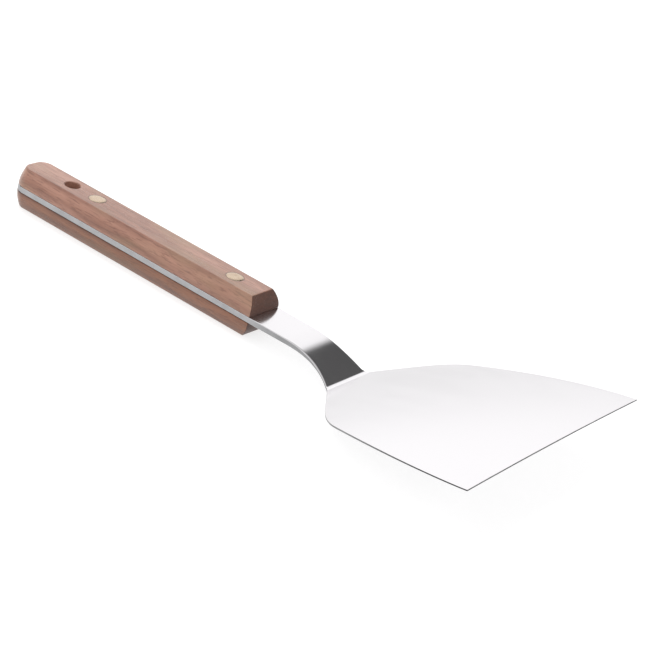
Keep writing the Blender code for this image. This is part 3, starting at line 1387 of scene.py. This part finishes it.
@dataclass
class Studio:
    """A pale floor, a soft surround and a light, and the camera."""

    camera_at: Triple = (0.4964, -0.7973, 0.4612)
    aimed_at: Triple = (0.0180, 0.0246, 0.0100)
    roll: float = math.radians(15.40)
    lens: float = 118.34
    sensor: float = 36.0
    clip_start: float = 0.05
    clip_end: float = 50.0
    floor_size: float = 12.0
    floor_grey: float = 0.38
    floor_glow: float = 0.74
    key_at: Triple = (-0.55, 0.25, 1.10)
    key_size: float = 0.9
    key_watts: float = 9.0
    strip: float = 1.34
    handle_end: float = 0.90
    blade_end: float = 0.80
    zenith: float = 0.72
    horizon: float = 1.15
    dark_card: float = 0.115

    def floor(self) -> None:
        """Lay the pale floor that the turner lies on."""
        Bench.deselect()
        bpy.ops.mesh.primitive_plane_add(size=self.floor_size, location=(0, 0, 0))
        floor = bpy.context.active_object
        floor.name = "floor"
        graph = FinishGraph("pale_floor")
        Bench.dress(floor, graph.finish(
            Base_Color=(self.floor_grey,) * 3, Roughness=0.9, Specular_IOR_Level=0.1,
            Emission_Color=(1.0, 1.0, 1.0), Emission_Strength=self.floor_glow))

    def surround(self) -> None:
        """A soft surround, bright behind the turner, shaded elsewhere, with a dark card above."""
        world = bpy.data.worlds.new("soft_surround")
        bpy.context.scene.world = world
        sky = SkyGraph(world)
        x, y, z = sky.parts
        leaning = sky.maths("ADD", z, sky.maths("MULTIPLY", x, -0.62))
        behind = sky.ramp(leaning, 0.530, 0.600, 1.09, 1.395)
        behind = sky.patch(behind, self.strip, (z, 0.36, 0.46), (z, 0.70, 0.60))
        behind = sky.patch(behind, self.handle_end, (x, -0.68, -0.90))
        behind = sky.patch(behind, self.blade_end, (x, 0.30, 0.80))
        before = sky.ramp(z, 0.05, 0.70, 0.46, 1.30)
        overhead = sky.ramp(x, -0.62, -0.22, 1.00, 0.58)
        glow = sky.patch(before, behind, (y, -0.5, 0.3))
        glow = sky.patch(glow, overhead, (z, 0.72, 0.84), (y, 0.55, 0.35))
        glow = sky.patch(glow, self.zenith, (z, 0.90, 0.97))
        glow = sky.patch(glow, self.horizon, (z, 0.10, 0.04))
        glow = sky.patch(glow, self.dark_card, (z, 0.40, 0.50), (z, 0.92, 0.82),
                         (x, -0.30, -0.19), (x, 0.70, 0.50), (y, 0.30, 0.55))
        sky.shine(glow)

    def light(self) -> None:
        """Hang the large soft light, aimed at the turner and left out of its reflections."""
        lamp = bpy.data.lights.new("key_light", "AREA")
        lamp.size = self.key_size
        lamp.energy = self.key_watts
        holder = bpy.data.objects.new("key_light", lamp)
        holder.location = self.key_at
        holder.visible_glossy = False
        sight = Vector(self.aimed_at) - Vector(self.key_at)
        holder.rotation_euler = sight.to_track_quat("-Z", "Y").to_euler()
        bpy.context.scene.collection.objects.link(holder)

    def camera(self) -> None:
        """Set up the camera, turned about its own line of sight by the roll."""
        eye = bpy.data.cameras.new("camera")
        eye.lens = self.lens
        eye.sensor_width = self.sensor
        eye.clip_start = self.clip_start
        eye.clip_end = self.clip_end
        holder = bpy.data.objects.new("camera", eye)
        at = Vector(self.camera_at)
        straight = (Vector(self.aimed_at) - at).to_track_quat("-Z", "Y").to_matrix()
        turned = straight @ Matrix.Rotation(self.roll, 3, "Z")
        holder.matrix_world = Matrix.Translation(at) @ turned.to_4x4()
        bpy.context.scene.collection.objects.link(holder)
        bpy.context.scene.camera = holder

    def build(self) -> None:
        """Build the whole studio."""
        self.floor()
        self.surround()
        self.light()
        self.camera()
        view = bpy.context.scene.view_settings
        view.view_transform = "Standard"
        view.look = "None"


# ---------------------------------------------------------------- assembly


def adopt(piece: Piece, node: str) -> None:
    """Let a finished piece stand for a node of the frame.

    Args:
        piece: The finished piece.
        node: The node that it replaces.
    """
    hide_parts(node)
    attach(piece, ROOT_BODY)
    log.info("%s: %d faces, for %s", piece.name, len(piece.data.polygons), node)


def make_rivets() -> list[CutlersRivet]:
    """Read both rivets' places from the frame."""
    return [CutlersRivet(name, *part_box(f"{name}_male"), *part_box(f"{name}_female"))
            for name in ("front_rivet", "rear_rivet")]


def make_steel(sheet: SteelSheet, cutters: list[Piece]) -> None:
    """Build the steel.

    Args:
        sheet: The sheet to build.
        cutters: The solids of all the holes.
    """
    steel = sheet.build()
    polished = PolishedSteel(dull_from=sheet.front_x + DULL_BEYOND_FRONT)
    Bench.dress(steel, polished.make(), GroundEdgePaintedShade().make())
    sheet.soften(steel)
    Bench.cut(steel, cutters)
    Bench.smooth(steel, METAL_SHARP)
    adopt(steel, "blade_and_tang")


def make_scale(word: str, scale: WoodScale, wood: OiledWood,
               cutters: list[Piece]) -> None:
    """Build a scale.

    Args:
        word: The word for its side in the frame's names.
        scale: The scale to build.
        wood: Its finish.
        cutters: The solids of all the holes.
    """
    piece = scale.build()
    Bench.cut(piece, cutters)
    Bench.smooth(piece, WOOD_SHARP)
    Bench.dress(piece, wood.make())
    adopt(piece, f"{word}_scale")


def make_halves(rivets: list[CutlersRivet]) -> None:
    """Build both halves of each rivet.

    Args:
        rivets: The rivets to build.
    """
    brass = SatinBrass().make()
    for rivet in rivets:
        for piece, half in ((rivet.solid_half(), Half.SOLID), (rivet.hollow_half(), Half.HOLLOW)):
            Bench.smooth(piece, METAL_SHARP)
            Bench.dress(piece, brass)
            adopt(piece, f"{rivet.name}_{half.value}")


def main() -> None:
    """Build the turner and its studio."""
    logging.basicConfig(level=logging.INFO, format="%(name)s: %(message)s")
    upper_low, upper_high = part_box("upper_scale")
    lower_low, lower_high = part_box("lower_scale")
    rivets = make_rivets()
    hole = HangHole(x=upper_high.x - HOLE_BEHIND_FRONT, low_z=lower_low.z, high_z=upper_high.z)
    cutters = [rivet.cutter() for rivet in rivets] + [hole.cutter()]

    sheet = SteelSheet(front_x=upper_high.x, butt_x=upper_low.x,
                       middle_z=(upper_high.z + lower_low.z) / 2, tang_half_width=upper_high.y)
    make_steel(sheet, cutters)

    places = {"rivets": tuple((rivet.centre.x, rivet.head_radius) for rivet in rivets),
              "hang_hole": (hole.x, hole.radius)}
    upper_low.z = sheet.top_z + WOOD_TO_TANG
    lower_high.z = sheet.low_z - WOOD_TO_TANG
    make_scale("upper", WoodScale("upper_wood_scale", Side.UPPER, upper_low, upper_high),
               OiledWood("upper_oiled_wood", UPPER_TINT, 1.0, **places), cutters)
    make_scale("lower", WoodScale("lower_wood_scale", Side.LOWER, lower_low, lower_high),
               OiledWood("lower_oiled_wood", LOWER_TINT_AND_PAINTED_SHADE, 5.0, **places), cutters)
    make_halves(rivets)

    for cutter in cutters:
        bpy.data.objects.remove(cutter)

    Studio().build()


if __name__ == "__main__":
    main()
